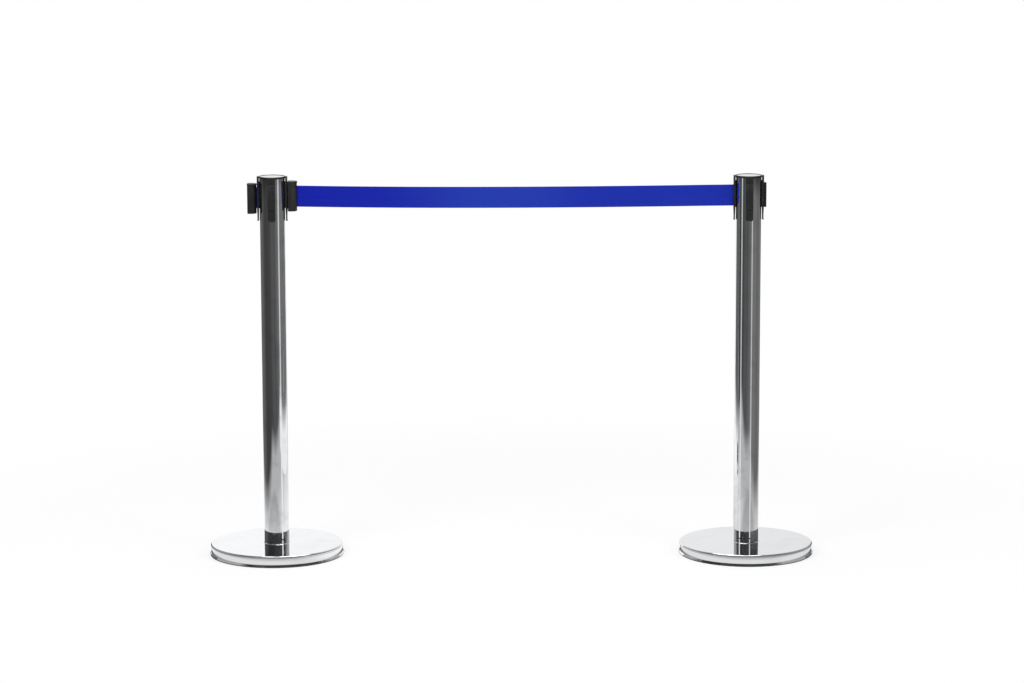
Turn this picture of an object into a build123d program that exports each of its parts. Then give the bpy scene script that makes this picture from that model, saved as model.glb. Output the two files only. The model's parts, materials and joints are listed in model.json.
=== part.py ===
from build123d import *
import os
from math import asin, atan2, cos, hypot, pi, sin, sqrt

# Driving dimensions, in millimetres
POST_HEIGHT = 910.0
POST_SPACING = 1124.0
BASE_RADIUS = 160.0
BASE_HEIGHT = 27.5
TUBE_RADIUS = 30.0
TUBE_WALL = 1.2
BELT_WIDTH = 50.0
BELT_THICKNESS = 0.7
BELT_LENGTH = 2000.0
BELT_SAG = 4.0
BELT_BELOW_TOP = 22.5

# Gaps between pieces, and how far a cut runs past a face
PRESS_GAP = 0.1
SLIDE_GAP = 0.3
BEARING_GAP = 0.05
OVERRUN = 1.0

# Base
COVER_SHEET = 1.0
COVER_FOOT = 1.6
COVER_BEAD = 6.2
COVER_BEAD_STEP = 0.6
COVER_WAIST = 2.8
COVER_FLARE_TOP = 6.6
COVER_FLARE_LOW = 2.2
BEAD_ROUND = 4.6
BEAD_UNDER_ROUND = 1.4
WAIST_ROUND = 0.6
FLARE_ROUND = 1.5
RIM_ROUND = 0.4
FOOT_ROUND = 0.4
LOCATING_RING = 1.2
LOCATING_LAND = 0.4
LOCATING_SLOPE = 1.1
WEIGHT_LOW = 12.5
WEIGHT_CHAMFER = 2.0
RING_INNER = BASE_RADIUS - 10.0
RING_LIP = 7.0
BOLT_RADIUS = 5.9
BOLT_HOLE = 6.5
BOLT_HEAD_FLATS = 19.0
BOLT_HEAD = 7.5
WASHER = 2.5
WASHER_RADIUS = 12.0
SPRING_WASHER_RADIUS = 10.5
BOLT_RECESS = 17.0
BOLT_RECESS_TOP = 18.5
PLUG_HEIGHT = 18.0
PLUG_WALL = 6.0
PLUG_FLOOR = 10.0

# Heights of the belt, and of the pieces stacked at the top of the post
BELT_HIGH = POST_HEIGHT - BELT_BELOW_TOP
BELT_Z = BELT_HIGH - BELT_WIDTH / 2
BELT_LOW = BELT_HIGH - BELT_WIDTH
CAP_HEIGHT = 3.7
LID_FLANGE = 1.2
STRIP_FOOT = 1.6
DISC_RECESS = 0.7
DISC_THICKNESS = 0.5
LID_TOP = POST_HEIGHT - CAP_HEIGHT
TUBE_TOP = LID_TOP - LID_FLANGE
FOOT_TOP = LID_TOP + STRIP_FOOT
DISC_TOP = POST_HEIGHT - DISC_RECESS
DISC_LOW = DISC_TOP - DISC_THICKNESS
STRIP_TOP = POST_HEIGHT - 0.5

# Cap and strips
CAP_RADIUS = TUBE_RADIUS + 1.4
DISC_RADIUS = TUBE_RADIUS - 1.0
STRIP_INNER = TUBE_RADIUS + 2.8
STRIP_OUTER = STRIP_INNER + 3.4
STRIP_WIDTH = 18.0
STRIP_NECK = 2.0
STRIP_TIP = BELT_LOW - 33.5
STRIP_TAPER_Z = BELT_LOW - 22.5
STRIP_CORNER = 5.0
STRIP_HALF_ARC = 45.0
FOOT_INNER = TUBE_RADIUS - 12.5
FOOT_SCREW_CIRCLE = TUBE_RADIUS - 8.5
PAD_WIDTH = 10.0
RAIL_LOW = BELT_LOW - 3.0
RAIL_TOP = BELT_HIGH + 4.9
PAD_TOP = BELT_HIGH + 10.0
RAIL_WEB = 8.0
RAIL_FLANGE = 16.4
RAIL_FLANGE_IN = STRIP_OUTER + 2.8
RAIL_FLANGE_OUT = RAIL_FLANGE_IN + 2.6
RAIL_LEAD = 1.2
EXIT_SLOT = 4.0
SLOT_HEIGHT = BELT_WIDTH + 8.0

# Screws in the head
SMALL_SCREW_RADIUS = 1.4
SMALL_SCREW_HEAD = 2.8
SMALL_SCREW_LENGTH = 10.5
CAP_SCREW_RADIUS = 2.4
CAP_SCREW_HEAD = 4.6
CAP_SCREW_LENGTH = 9.5

# Cassette, spindle and reel
TUBE_BORE = TUBE_RADIUS - TUBE_WALL
CASSETTE_RADIUS = TUBE_BORE - SLIDE_GAP
CASSETTE_WALL = 1.5
CASSETTE_LOW = BELT_LOW - 36.5
CASSETTE_FLOOR = BELT_LOW - 33.0
LID_SKIRT_LOW = BELT_HIGH + 5.5
LID_SKIRT = 2.0
LID_BOSS = 6.5
LID_BOSS_LOW = BELT_HIGH + 3.8
SCREW_BOSS = 3.0
SPINDLE_RADIUS = 3.0
SPINDLE_LOW = BELT_LOW - 35.5
SPINDLE_TOP = BELT_HIGH + 9.8
HUB_RADIUS = 9.0
HUB_BORE = 4.7
FLANGE_RADIUS = CASSETTE_RADIUS - 4.5
FLANGE = 2.0
FLANGE_SIDE_ROOM = 1.0
REEL_LOW = BELT_LOW - FLANGE_SIDE_ROOM
REEL_HIGH = BELT_HIGH + FLANGE_SIDE_ROOM
BARREL_RADIUS = FLANGE_RADIUS - 1.0
BARREL_WALL = 1.4
BARREL_LOW = BELT_LOW - 29.3
BARREL_COVER = 2.0
BUSH_LENGTH = 11.5
BUSH_FLANGE_RADIUS = 6.8
BUSH_FLANGE = 0.5
ARBOR_RADIUS = 4.6
ARBOR_LOW = BELT_LOW - 28.5
ARBOR_TOP = BELT_LOW - 3.9
BRAKE_INNER = 8.0
BRAKE_OUTER = BARREL_RADIUS - 3.0
BRAKE_THICKNESS = 1.4
GUIDE_PIN_RADIUS = 1.4
GUIDE_PIN_X = 2.3 - CASSETTE_RADIUS
GUIDE_PIN_Y = GUIDE_PIN_RADIUS + BEARING_GAP + BELT_THICKNESS / 2
GUIDE_PIN_LOW = BELT_LOW - 7.5
GUIDE_PIN_TOP = BELT_HIGH + 5.0
GUIDE_PAD_INNER = CASSETTE_RADIUS - 3.9
GUIDE_PAD_WIDTH = 11.0
GUIDE_PAD_LOW = (BELT_LOW - 8.0, BELT_LOW - 3.3)
GUIDE_PAD_HIGH = (BELT_HIGH + 3.3, BELT_HIGH + 5.3)

# Power spring
SPRING_LOW = BELT_LOW - 28.0
SPRING_TOP = BELT_LOW - 4.0
SPRING_STRIP = 0.4
SPRING_PACK_INNER = BARREL_RADIUS - 6.0
SPRING_HALF_TURNS = 3

# Belt end, measured from the middle of its pin, with the belt leaving towards +X
GRIP_BELT_FACE = 8.6
GRIP_BACK = -12.8
GRIP_HALF_WIDTH = 12.5
GRIP_LOW = -BELT_WIDTH / 2 - 10.4
GRIP_HIGH = BELT_WIDTH / 2 + 10.8
GRIP_COLLAR = 4.0
GRIP_COLLAR_PROUD = 0.8
GRIP_LIP = 1.5
GRIP_BACK_ROUND = 2.5
GRIP_LOW_ROUND = 2.5
GRIP_PIN_RADIUS = 2.0
GRIP_PIN_HALF = BELT_WIDTH / 2 + 2.0
GRIP_BORE = 3.4
GRIP_SLOT = 1.8
GRIP_SLOT_ROOM = 2.0
GROOVE_SIDE_GAP = 0.35

# Where the belt ends stand, and how much belt is out
GRIP_GAP_TO_STRIP = 1.0
PARKED_DROP = 5.5
DOCKED_PIN = STRIP_OUTER + GRIP_GAP_TO_STRIP - GRIP_BACK
PARKED_PIN = STRIP_OUTER + GRIP_GAP_TO_STRIP + GRIP_BELT_FACE
BELT_OUT = POST_SPACING - DOCKED_PIN - STRIP_OUTER
SAFETY_WRAP = 120.0


def disc(radius, low, high, x=0.0, y=0.0):
    upright = (Align.CENTER, Align.CENTER, Align.MIN)
    return Pos(x, y, low) * Cylinder(radius, high - low, align=upright)


def ring(outer, inner, low, high):
    return disc(outer, low, high) - disc(inner, low, high)


def block(x, y, z):
    middle = [(low + high) / 2 for low, high in (x, y, z)]
    return Pos(*middle) * Box(x[1] - x[0], y[1] - y[0], z[1] - z[0])


def turned(*points):
    """A solid of revolution about Z, from its half section given as (radius, height)."""
    return revolve(Plane.XZ * make_face(Polyline(*points, close=True)), Axis.Z)


def countersunk(radius, head, top, length, x=0.0, y=0.0):
    cone = head - radius
    screw = turned((0, top), (head, top), (radius, top - cone), (radius, top - length), (0, top - length))
    return Pos(x, y, 0) * screw


def around(piece, circle):
    """Four copies of a piece that sits on the +X side, a quarter turn apart."""
    return [Rot(0, 0, 90 * n) * Pos(circle, 0, 0) * piece for n in range(4)]


# Base
def base_cover():
    """A spun dish: a low ring that centres the tube, a bead round the top, a waist and a flared foot."""
    top, under = BASE_HEIGHT, BASE_HEIGHT - COVER_SHEET
    bead, bead_low = BASE_RADIUS - COVER_BEAD_STEP, top - COVER_BEAD
    waist = BASE_RADIUS - COVER_WAIST
    inner = waist - COVER_SHEET
    ring_in = TUBE_RADIUS + SLIDE_GAP
    ring_out, ring_top = ring_in + LOCATING_LAND, top + LOCATING_RING
    rounded = {
        (bead, top): BEAD_ROUND, (bead, bead_low): BEAD_UNDER_ROUND, (waist, bead_low): WAIST_ROUND,
        (waist, COVER_FLARE_TOP): FLARE_ROUND, (BASE_RADIUS, COVER_FLARE_LOW): RIM_ROUND,
        (BASE_RADIUS, COVER_FOOT): FOOT_ROUND,
    }
    half = make_face(
        Polyline(
            (BOLT_HOLE, top), (ring_in, top), (ring_in, ring_top), (ring_out, ring_top),
            (ring_out + LOCATING_SLOPE, top), *rounded,
            (inner, COVER_FOOT), (inner, under), (BOLT_HOLE, under),
            close=True,
        )
    )
    for corner, radius in rounded.items():
        half = fillet(half.vertices().sort_by_distance(corner)[0], radius)
    return revolve(Plane.XZ * half, Axis.Z)


def floor_ring():
    seat = BASE_RADIUS - COVER_WAIST - COVER_SHEET - PRESS_GAP
    rim = BASE_RADIUS - FOOT_ROUND
    bevel = COVER_FOOT / 2
    return turned(
        (RING_INNER, 0), (rim - bevel, 0), (rim, bevel), (rim, COVER_FOOT), (seat, COVER_FOOT),
        (seat, RING_LIP), (RING_INNER + bevel, RING_LIP), (RING_INNER, RING_LIP - bevel),
    )


def base_weight():
    top = BASE_HEIGHT - COVER_SHEET
    rim = BASE_RADIUS - COVER_WAIST - COVER_SHEET - SLIDE_GAP
    cut = WEIGHT_CHAMFER
    return turned(
        (BOLT_HOLE, top), (rim, top), (rim, WEIGHT_LOW + cut), (rim - cut, WEIGHT_LOW),
        (BOLT_RECESS, WEIGHT_LOW), (BOLT_RECESS, BOLT_RECESS_TOP), (BOLT_HOLE, BOLT_RECESS_TOP),
    )


def base_bolt():
    head_top = BOLT_RECESS_TOP - 2 * WASHER
    hexagon = RegularPolygon(BOLT_HEAD_FLATS / 2, 6, major_radius=False)
    head = Pos(0, 0, head_top - BOLT_HEAD) * extrude(hexagon, BOLT_HEAD)
    return head + disc(BOLT_RADIUS, head_top, BASE_HEIGHT + PLUG_HEIGHT - WASHER)


def base_washers():
    middle = BOLT_RECESS_TOP - WASHER
    flat = ring(WASHER_RADIUS, BOLT_HOLE, middle, BOLT_RECESS_TOP)
    low = middle - WASHER
    half_split = WASHER / 4
    split = block((0, SPRING_WASHER_RADIUS), (-half_split, half_split), (low, middle))
    spring = ring(SPRING_WASHER_RADIUS, BOLT_HOLE, low, middle - BEARING_GAP) - split
    return Compound([flat.solid(), spring.solid()])


def tube_plug():
    rim = TUBE_BORE - PRESS_GAP
    rim_inner = rim - PLUG_WALL / 2
    low = BASE_HEIGHT + PRESS_GAP
    floor = low + PLUG_FLOOR
    high = BASE_HEIGHT + PLUG_HEIGHT
    boss = BOLT_RADIUS + PLUG_WALL
    hole = BOLT_RADIUS + BEARING_GAP
    return turned(
        (hole, low), (rim, low), (rim, high), (rim_inner, high), (rim_inner, floor),
        (boss, floor), (boss, high), (hole, high),
    )


# Column
def tube():
    wall = ring(TUBE_RADIUS, TUBE_BORE, BASE_HEIGHT, TUBE_TOP)
    window = extrude(SlotOverall(SLOT_HEIGHT, 2 * EXIT_SLOT, rotation=90), TUBE_RADIUS)
    return wall - Pos(-TUBE_RADIUS, 0, BELT_Z) * (Plane.YZ * window)


# Cassette
def cassette_body():
    inner = CASSETTE_RADIUS - CASSETTE_WALL
    socket = SPINDLE_RADIUS + BEARING_GAP
    cup = turned(
        (0, CASSETTE_LOW), (CASSETTE_RADIUS, CASSETTE_LOW), (CASSETTE_RADIUS, TUBE_TOP), (inner, TUBE_TOP),
        (inner, CASSETTE_FLOOR), (socket, CASSETTE_FLOOR), (socket, SPINDLE_LOW), (0, SPINDLE_LOW),
    )
    half_pad = GUIDE_PAD_WIDTH / 2
    pad_x = (-inner - CASSETTE_WALL / 3, -GUIDE_PAD_INNER)
    for pad_z in (GUIDE_PAD_LOW, GUIDE_PAD_HIGH):
        cup += block(pad_x, (-half_pad, half_pad), pad_z)
    window_z = (GUIDE_PAD_LOW[1], GUIDE_PAD_HIGH[0])
    cup -= block((-TUBE_RADIUS, -inner + CASSETTE_WALL), (-half_pad, half_pad), window_z)
    hole = GUIDE_PIN_RADIUS + BEARING_GAP
    for y in (-GUIDE_PIN_Y, GUIDE_PIN_Y):
        cup -= disc(hole, GUIDE_PIN_LOW - BEARING_GAP, GUIDE_PIN_TOP + BEARING_GAP, GUIDE_PIN_X, y)
    return cup


def cassette_lid():
    skirt = CASSETTE_RADIUS - CASSETTE_WALL - PRESS_GAP
    skirt_inner = skirt - LID_SKIRT
    bore = SPINDLE_RADIUS + BEARING_GAP
    bore_top = SPINDLE_TOP + SLIDE_GAP
    pilot = CAP_SCREW_RADIUS + BEARING_GAP
    pilot_low = DISC_LOW - CAP_SCREW_LENGTH - SLIDE_GAP
    lid = turned(
        (pilot, LID_TOP), (TUBE_RADIUS, LID_TOP), (TUBE_RADIUS, TUBE_TOP), (skirt, TUBE_TOP),
        (skirt, LID_SKIRT_LOW), (skirt_inner, LID_SKIRT_LOW), (skirt_inner, TUBE_TOP), (LID_BOSS, TUBE_TOP),
        (LID_BOSS, LID_BOSS_LOW), (bore, LID_BOSS_LOW), (bore, bore_top), (0, bore_top),
        (0, pilot_low), (pilot, pilot_low),
    )
    boss_low = FOOT_TOP - SMALL_SCREW_LENGTH - LID_SKIRT
    for boss in around(disc(SCREW_BOSS, boss_low, TUBE_TOP), FOOT_SCREW_CIRCLE):
        lid += boss
    screw_hole = disc(SMALL_SCREW_RADIUS + BEARING_GAP, boss_low + LID_SKIRT / 2, LID_TOP)
    for hole in around(screw_hole, FOOT_SCREW_CIRCLE):
        lid -= hole
    return lid


def spindle():
    return disc(SPINDLE_RADIUS, SPINDLE_LOW, SPINDLE_TOP)


def spring_arbor():
    sleeve = ring(ARBOR_RADIUS, SPINDLE_RADIUS + BEARING_GAP / 2, ARBOR_LOW, ARBOR_TOP)
    return sleeve - block((-ARBOR_RADIUS, 0), (-SPRING_STRIP, SPRING_STRIP), (SPRING_LOW, ARBOR_TOP))


def brake_washer():
    low = CASSETTE_FLOOR + BEARING_GAP
    return ring(BRAKE_OUTER, BRAKE_INNER, low, low + BRAKE_THICKNESS)


def guide_pins():
    sides = (-GUIDE_PIN_Y, GUIDE_PIN_Y)
    pins = [disc(GUIDE_PIN_RADIUS, GUIDE_PIN_LOW, GUIDE_PIN_TOP, GUIDE_PIN_X, y) for y in sides]
    return Compound([pin.solid() for pin in pins])


# Reel
def reel():
    barrel_inner = BARREL_RADIUS - BARREL_WALL
    top = REEL_HIGH + FLANGE
    barrel_top = REEL_LOW - FLANGE
    return turned(
        (HUB_BORE, top), (FLANGE_RADIUS, top), (FLANGE_RADIUS, REEL_HIGH), (HUB_RADIUS, REEL_HIGH),
        (HUB_RADIUS, REEL_LOW), (FLANGE_RADIUS, REEL_LOW), (FLANGE_RADIUS, barrel_top),
        (BARREL_RADIUS, barrel_top), (BARREL_RADIUS, BARREL_LOW), (barrel_inner, BARREL_LOW),
        (barrel_inner, barrel_top), (HUB_BORE, barrel_top),
    )


def barrel_cover():
    return ring(BARREL_RADIUS, BUSH_FLANGE_RADIUS, BARREL_LOW - BARREL_COVER, BARREL_LOW)


def reel_bushes():
    bore = SPINDLE_RADIUS + BEARING_GAP
    wall = HUB_BORE - BEARING_GAP
    lip = BUSH_FLANGE_RADIUS
    bushes = []
    for face, inward in ((REEL_HIGH + FLANGE, -1), (REEL_LOW - FLANGE, 1)):
        end = face + inward * BUSH_LENGTH
        out = face - inward * BUSH_FLANGE
        bush = turned((bore, out), (lip, out), (lip, face), (wall, face), (wall, end), (bore, end))
        bushes.append(bush.solid())
    return Compound(bushes)


def roll_radius(drawn_out):
    wound = BELT_LENGTH + SAFETY_WRAP - drawn_out
    return sqrt(HUB_RADIUS**2 + wound * BELT_THICKNESS / pi)


def belt_roll(drawn_out):
    return ring(roll_radius(drawn_out), HUB_RADIUS + BEARING_GAP, BELT_LOW, BELT_HIGH)


def power_spring():
    """Coils packed against the barrel, and one arm that winds in to the arbor."""
    outer = BARREL_RADIUS - BARREL_WALL - PRESS_GAP
    pack = ring(outer, SPRING_PACK_INNER, SPRING_LOW, SPRING_TOP)
    start = SPRING_PACK_INNER + SPRING_STRIP / 2
    end = ARBOR_RADIUS + PRESS_GAP + SPRING_STRIP / 2
    step = (start - end) / SPRING_HALF_TURNS
    arcs = []
    for turn in range(SPRING_HALF_TURNS):
        side = (-1) ** turn
        first, last = start - turn * step, start - (turn + 1) * step
        middle = (side * (first - last) / 2, side * (first + last) / 2)
        arcs.append(ThreePointArc((side * first, 0), middle, (-side * last, 0)))
    arm = extrude(trace(Wire(arcs), SPRING_STRIP), SPRING_TOP - SPRING_LOW)
    return pack + Pos(0, 0, SPRING_LOW) * arm


# Head
def head_cap():
    web_low = FOOT_TOP + PRESS_GAP
    seat = DISC_RADIUS + PRESS_GAP
    hole = CAP_SCREW_RADIUS + PRESS_GAP
    head = CAP_SCREW_HEAD + PRESS_GAP
    cap = turned(
        (hole, LID_TOP), (CAP_RADIUS, LID_TOP), (CAP_RADIUS, POST_HEIGHT - PRESS_GAP),
        (CAP_RADIUS - SLIDE_GAP, POST_HEIGHT), (seat, POST_HEIGHT), (seat, DISC_LOW), (head, DISC_LOW),
        (hole, DISC_LOW - head + hole),
    )
    half = STRIP_WIDTH / 2 + PRESS_GAP
    notch = block((0, CAP_RADIUS + OVERRUN), (-half, half), (LID_TOP, web_low))
    notch -= disc(FOOT_INNER - SLIDE_GAP, LID_TOP, web_low)
    for foot in around(notch, 0):
        cap -= foot
    return cap


def cap_disc():
    edge = PRESS_GAP
    return turned(
        (0, DISC_LOW), (DISC_RADIUS, DISC_LOW), (DISC_RADIUS, DISC_TOP - edge),
        (DISC_RADIUS - edge, DISC_TOP), (0, DISC_TOP),
    )


def head_screws():
    small = countersunk(SMALL_SCREW_RADIUS, SMALL_SCREW_HEAD, FOOT_TOP, SMALL_SCREW_LENGTH)
    large = countersunk(CAP_SCREW_RADIUS, CAP_SCREW_HEAD, DISC_LOW, CAP_SCREW_LENGTH)
    return Compound([screw.solid() for screw in [*around(small, FOOT_SCREW_CIRCLE), large]])


def strip():
    """A strip on the +X side: foot under the cap, pad on the tube, curved leg thinned to a beaded tip."""
    bead = (STRIP_OUTER - STRIP_INNER) / 2
    middle = (STRIP_OUTER + STRIP_INNER) / 2
    neck_in, neck_out = middle - STRIP_NECK / 2, middle + STRIP_NECK / 2
    bead_z = STRIP_TIP + bead
    ledge = CAP_RADIUS + SLIDE_GAP
    section = make_face(
        Polyline(
            (FOOT_INNER, LID_TOP), (FOOT_INNER, FOOT_TOP), (ledge, FOOT_TOP), (ledge, STRIP_TOP),
            (STRIP_OUTER, STRIP_TOP), (STRIP_OUTER, RAIL_LOW), (neck_out, STRIP_TAPER_Z), (neck_out, bead_z),
            (neck_in, bead_z), (neck_in, STRIP_TAPER_Z), (STRIP_INNER, RAIL_LOW), (STRIP_INNER, LID_TOP),
            close=True,
        )
    )
    section += Pos(middle, bead_z) * Circle(bead)
    arc = Rot(0, 0, -STRIP_HALF_ARC) * revolve(Plane.XZ * section, Axis.Z, 2 * STRIP_HALF_ARC)
    height = STRIP_TOP - STRIP_TIP
    face = Pos(0, STRIP_TIP + height / 2) * Rectangle(STRIP_WIDTH, height)
    face = fillet(face.vertices().group_by(Axis.Y)[0], STRIP_CORNER)
    leg = arc & extrude(Plane.YZ * face, STRIP_OUTER + OVERRUN)
    half_pad, pad_z = PAD_WIDTH / 2, (RAIL_LOW, PAD_TOP)
    pad = block((TUBE_RADIUS - OVERRUN, STRIP_INNER + OVERRUN), (-half_pad, half_pad), pad_z)
    leg += pad - disc(TUBE_RADIUS + PRESS_GAP, *pad_z)
    hole = SMALL_SCREW_RADIUS + PRESS_GAP
    head = SMALL_SCREW_HEAD + PRESS_GAP
    return leg - countersunk(hole, head, FOOT_TOP, SMALL_SCREW_LENGTH, FOOT_SCREW_CIRCLE)


def exit_strip():
    slot = extrude(SlotOverall(SLOT_HEIGHT, EXIT_SLOT, rotation=90), STRIP_OUTER + OVERRUN)
    return Rot(0, 0, 180) * (strip() - Pos(0, 0, BELT_Z) * (Plane.YZ * slot))


def receiver():
    """A strip with the rail that a belt end slides down over."""
    half_web, half_flange = RAIL_WEB / 2, RAIL_FLANGE / 2
    rail_z = (RAIL_LOW, RAIL_TOP)
    flange = block((RAIL_FLANGE_IN, RAIL_FLANGE_OUT), (-half_flange, half_flange), rail_z)
    flange = chamfer(flange.faces().sort_by(Axis.X)[-1].edges(), RAIL_LEAD)
    web = block((STRIP_OUTER - OVERRUN, RAIL_FLANGE_IN), (-half_web, half_web), rail_z)
    return strip() + flange + web


# Belt end
def grip_outline(proud=0.0):
    half = GRIP_HALF_WIDTH + proud
    middle = GRIP_BELT_FACE - GRIP_HALF_WIDTH
    back = GRIP_BACK - proud / 2
    sides = Polyline((middle, half), (back, half), (back, -half), (middle, -half))
    nose = ThreePointArc((middle, -half), (middle + half, 0), (middle, half))
    outline = make_face(sides + nose)
    return fillet(outline.vertices().group_by(Axis.X)[0], GRIP_BACK_ROUND)


def grip():
    collar_low = GRIP_HIGH - GRIP_COLLAR
    body = Pos(0, 0, GRIP_LOW) * extrude(grip_outline(), collar_low - GRIP_LOW)
    body = fillet(body.faces().sort_by(Axis.Z)[0].edges(), GRIP_LOW_ROUND)
    collar = Pos(0, 0, collar_low) * extrude(grip_outline(GRIP_COLLAR_PROUD), GRIP_COLLAR)
    body += chamfer(collar.faces().sort_by(Axis.Z)[-1].edges(), GRIP_COLLAR_PROUD)

    # The groove fits the rail: open below, closed above where it comes to rest on the rail's top.
    groove_z = (GRIP_LOW, RAIL_TOP - BELT_Z + SLIDE_GAP)
    flange_half = RAIL_FLANGE / 2 + GROOVE_SIDE_GAP
    web_half = RAIL_WEB / 2 + SLIDE_GAP
    groove_in = GRIP_BACK + GRIP_LIP
    groove_out = RAIL_FLANGE_OUT - DOCKED_PIN + SLIDE_GAP
    body -= block((groove_in, groove_out), (-flange_half, flange_half), groove_z)
    body -= block((GRIP_BACK - OVERRUN, groove_in), (-web_half, web_half), groove_z)

    # The pin goes in from below, and the belt comes out through a slot in the nose.
    body -= disc(GRIP_BORE, GRIP_LOW, GRIP_PIN_HALF + SLIDE_GAP)
    half_slot, half_height = GRIP_SLOT / 2, BELT_WIDTH / 2 + GRIP_SLOT_ROOM
    body -= block((0, GRIP_BELT_FACE + OVERRUN), (-half_slot, half_slot), (-half_height, half_height))
    return body


def grip_pin():
    return disc(GRIP_PIN_RADIUS, -GRIP_PIN_HALF, GRIP_PIN_HALF)


def grip_plug():
    return disc(GRIP_BORE - PRESS_GAP, GRIP_LOW + PRESS_GAP, -GRIP_PIN_HALF - PRESS_GAP)


# Belt
def belt_edge(start, end, sag):
    middle = ((start[0] + end[0]) / 2, (start[1] + end[1]) / 2 - sag)
    return ThreePointArc(start, middle, end) if sag else Line(start, end)


def belt(pin_x, drop, sag, drawn_out):
    """From the loop sewn round the grip's pin, through the slot, round a guide pin, to the roll."""
    half = BELT_THICKNESS / 2
    low, high = BELT_LOW - drop, BELT_HIGH - drop
    pin_loop = GRIP_PIN_RADIUS + BEARING_GAP
    run_start = pin_x + pin_loop + half
    loop = Pos(pin_x, 0, 0) * ring(pin_loop + BELT_THICKNESS, pin_loop, low, high)
    lower = belt_edge((run_start, low), (GUIDE_PIN_X, BELT_LOW), sag)
    upper = belt_edge((GUIDE_PIN_X, BELT_HIGH), (run_start, high), sag)
    ends = (Line(lower @ 1, upper @ 0), Line(upper @ 1, lower @ 0))
    run = extrude(Plane.XZ * make_face([lower, ends[0], upper, ends[1]]), half, both=True)

    # The inner stretch leaves the guide pin on one side and meets the roll on the other.
    bend = GUIDE_PIN_RADIUS + BEARING_GAP + half
    roll = roll_radius(drawn_out) + BEARING_GAP + half
    distance = hypot(GUIDE_PIN_X, GUIDE_PIN_Y)
    turn = asin((bend + roll) / distance) - atan2(GUIDE_PIN_Y, -GUIDE_PIN_X)

    def on_pin(angle):
        return (GUIDE_PIN_X + bend * sin(angle), -GUIDE_PIN_Y + bend * cos(angle))

    on_roll = (-roll * sin(turn), -roll * cos(turn))
    around_pin = ThreePointArc(on_pin(0), on_pin(turn / 2), on_pin(turn))
    inner = trace(Wire([around_pin, Line(on_pin(turn), on_roll)]), BELT_THICKNESS)
    return loop + run + Pos(0, 0, BELT_LOW) * extrude(inner, BELT_WIDTH)


def fixed_pieces():
    rail = receiver()
    return {
        "floor_ring": floor_ring(),
        "base_cover": base_cover(),
        "base_weight": base_weight(),
        "base_bolt": base_bolt(),
        "base_washers": base_washers(),
        "tube_plug": tube_plug(),
        "tube": tube(),
        "cassette_body": cassette_body(),
        "cassette_lid": cassette_lid(),
        "spindle": spindle(),
        "spring_arbor": spring_arbor(),
        "brake_washer": brake_washer(),
        "guide_pins": guide_pins(),
        "reel": reel(),
        "barrel_cover": barrel_cover(),
        "reel_bushes": reel_bushes(),
        "power_spring": power_spring(),
        "exit_strip": exit_strip(),
        "receiver_side": rail,
        "receiver_front": Rot(0, 0, -90) * rail,
        "receiver_back": Rot(0, 0, 90) * rail,
        "head_cap": head_cap(),
        "cap_disc": cap_disc(),
        "head_screws": head_screws(),
    }


def belt_pieces(pin_x, drop, sag, drawn_out):
    place = Pos(pin_x, 0, BELT_Z - drop)
    return {
        "belt_roll": belt_roll(drawn_out),
        "belt": belt(pin_x, drop, sag, drawn_out),
        "grip": place * grip(),
        "grip_pin": place * grip_pin(),
        "grip_plug": place * grip_plug(),
    }


def main():
    os.makedirs("parts", exist_ok=True)
    post = fixed_pieces()
    docked = belt_pieces(DOCKED_PIN - POST_SPACING, 0.0, BELT_SAG, BELT_OUT)
    parked = belt_pieces(-PARKED_PIN, PARKED_DROP, 0.0, 0.0)
    posts = (("left", -POST_SPACING / 2, parked), ("right", POST_SPACING / 2, docked))
    for side, x, belted in posts:
        for name, piece in {**post, **belted}.items():
            export_step(Pos(x, 0, 0) * piece, f"parts/{side}_{name}.step")
    print(f"drawn out {BELT_OUT:.1f}, rolls {roll_radius(BELT_OUT):.2f} and {roll_radius(0.0):.2f}")


main()
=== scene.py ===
import json
import math
import bmesh
import bpy
from mathutils import Matrix, Vector


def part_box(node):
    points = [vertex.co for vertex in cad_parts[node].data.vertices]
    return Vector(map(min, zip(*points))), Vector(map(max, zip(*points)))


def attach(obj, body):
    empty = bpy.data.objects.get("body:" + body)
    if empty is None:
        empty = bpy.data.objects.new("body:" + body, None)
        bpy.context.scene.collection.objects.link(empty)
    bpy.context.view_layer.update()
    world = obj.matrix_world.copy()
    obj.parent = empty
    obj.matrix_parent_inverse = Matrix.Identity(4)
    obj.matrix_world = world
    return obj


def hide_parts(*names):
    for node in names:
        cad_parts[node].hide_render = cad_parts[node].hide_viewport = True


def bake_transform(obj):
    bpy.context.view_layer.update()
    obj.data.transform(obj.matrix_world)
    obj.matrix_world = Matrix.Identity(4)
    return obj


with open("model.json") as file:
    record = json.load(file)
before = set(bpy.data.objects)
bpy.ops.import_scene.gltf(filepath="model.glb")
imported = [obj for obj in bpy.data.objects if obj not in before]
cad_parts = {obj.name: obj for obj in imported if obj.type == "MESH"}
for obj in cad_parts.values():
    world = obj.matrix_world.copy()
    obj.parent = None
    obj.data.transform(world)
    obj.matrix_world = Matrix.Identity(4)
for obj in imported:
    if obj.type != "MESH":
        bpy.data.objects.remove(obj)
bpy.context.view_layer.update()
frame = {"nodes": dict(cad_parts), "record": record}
mm = 0.001
sides = ("left", "right")


def middleOf(node):
    low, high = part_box(node)
    return (low + high) / 2


def beltCentre(side):
    return middleOf(side + "_belt_roll").z


axisX = {side: middleOf(side + "_tube").x for side in sides}


# materials
def linear(hexCode):  # sRGB hex to linear
    parts = [int(hexCode[i:i + 2], 16) / 255 for i in (1, 3, 5)]
    return [c / 12.92 if c <= 0.04045 else ((c + 0.055) / 1.055) ** 2.4 for c in parts] + [1.0]


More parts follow.
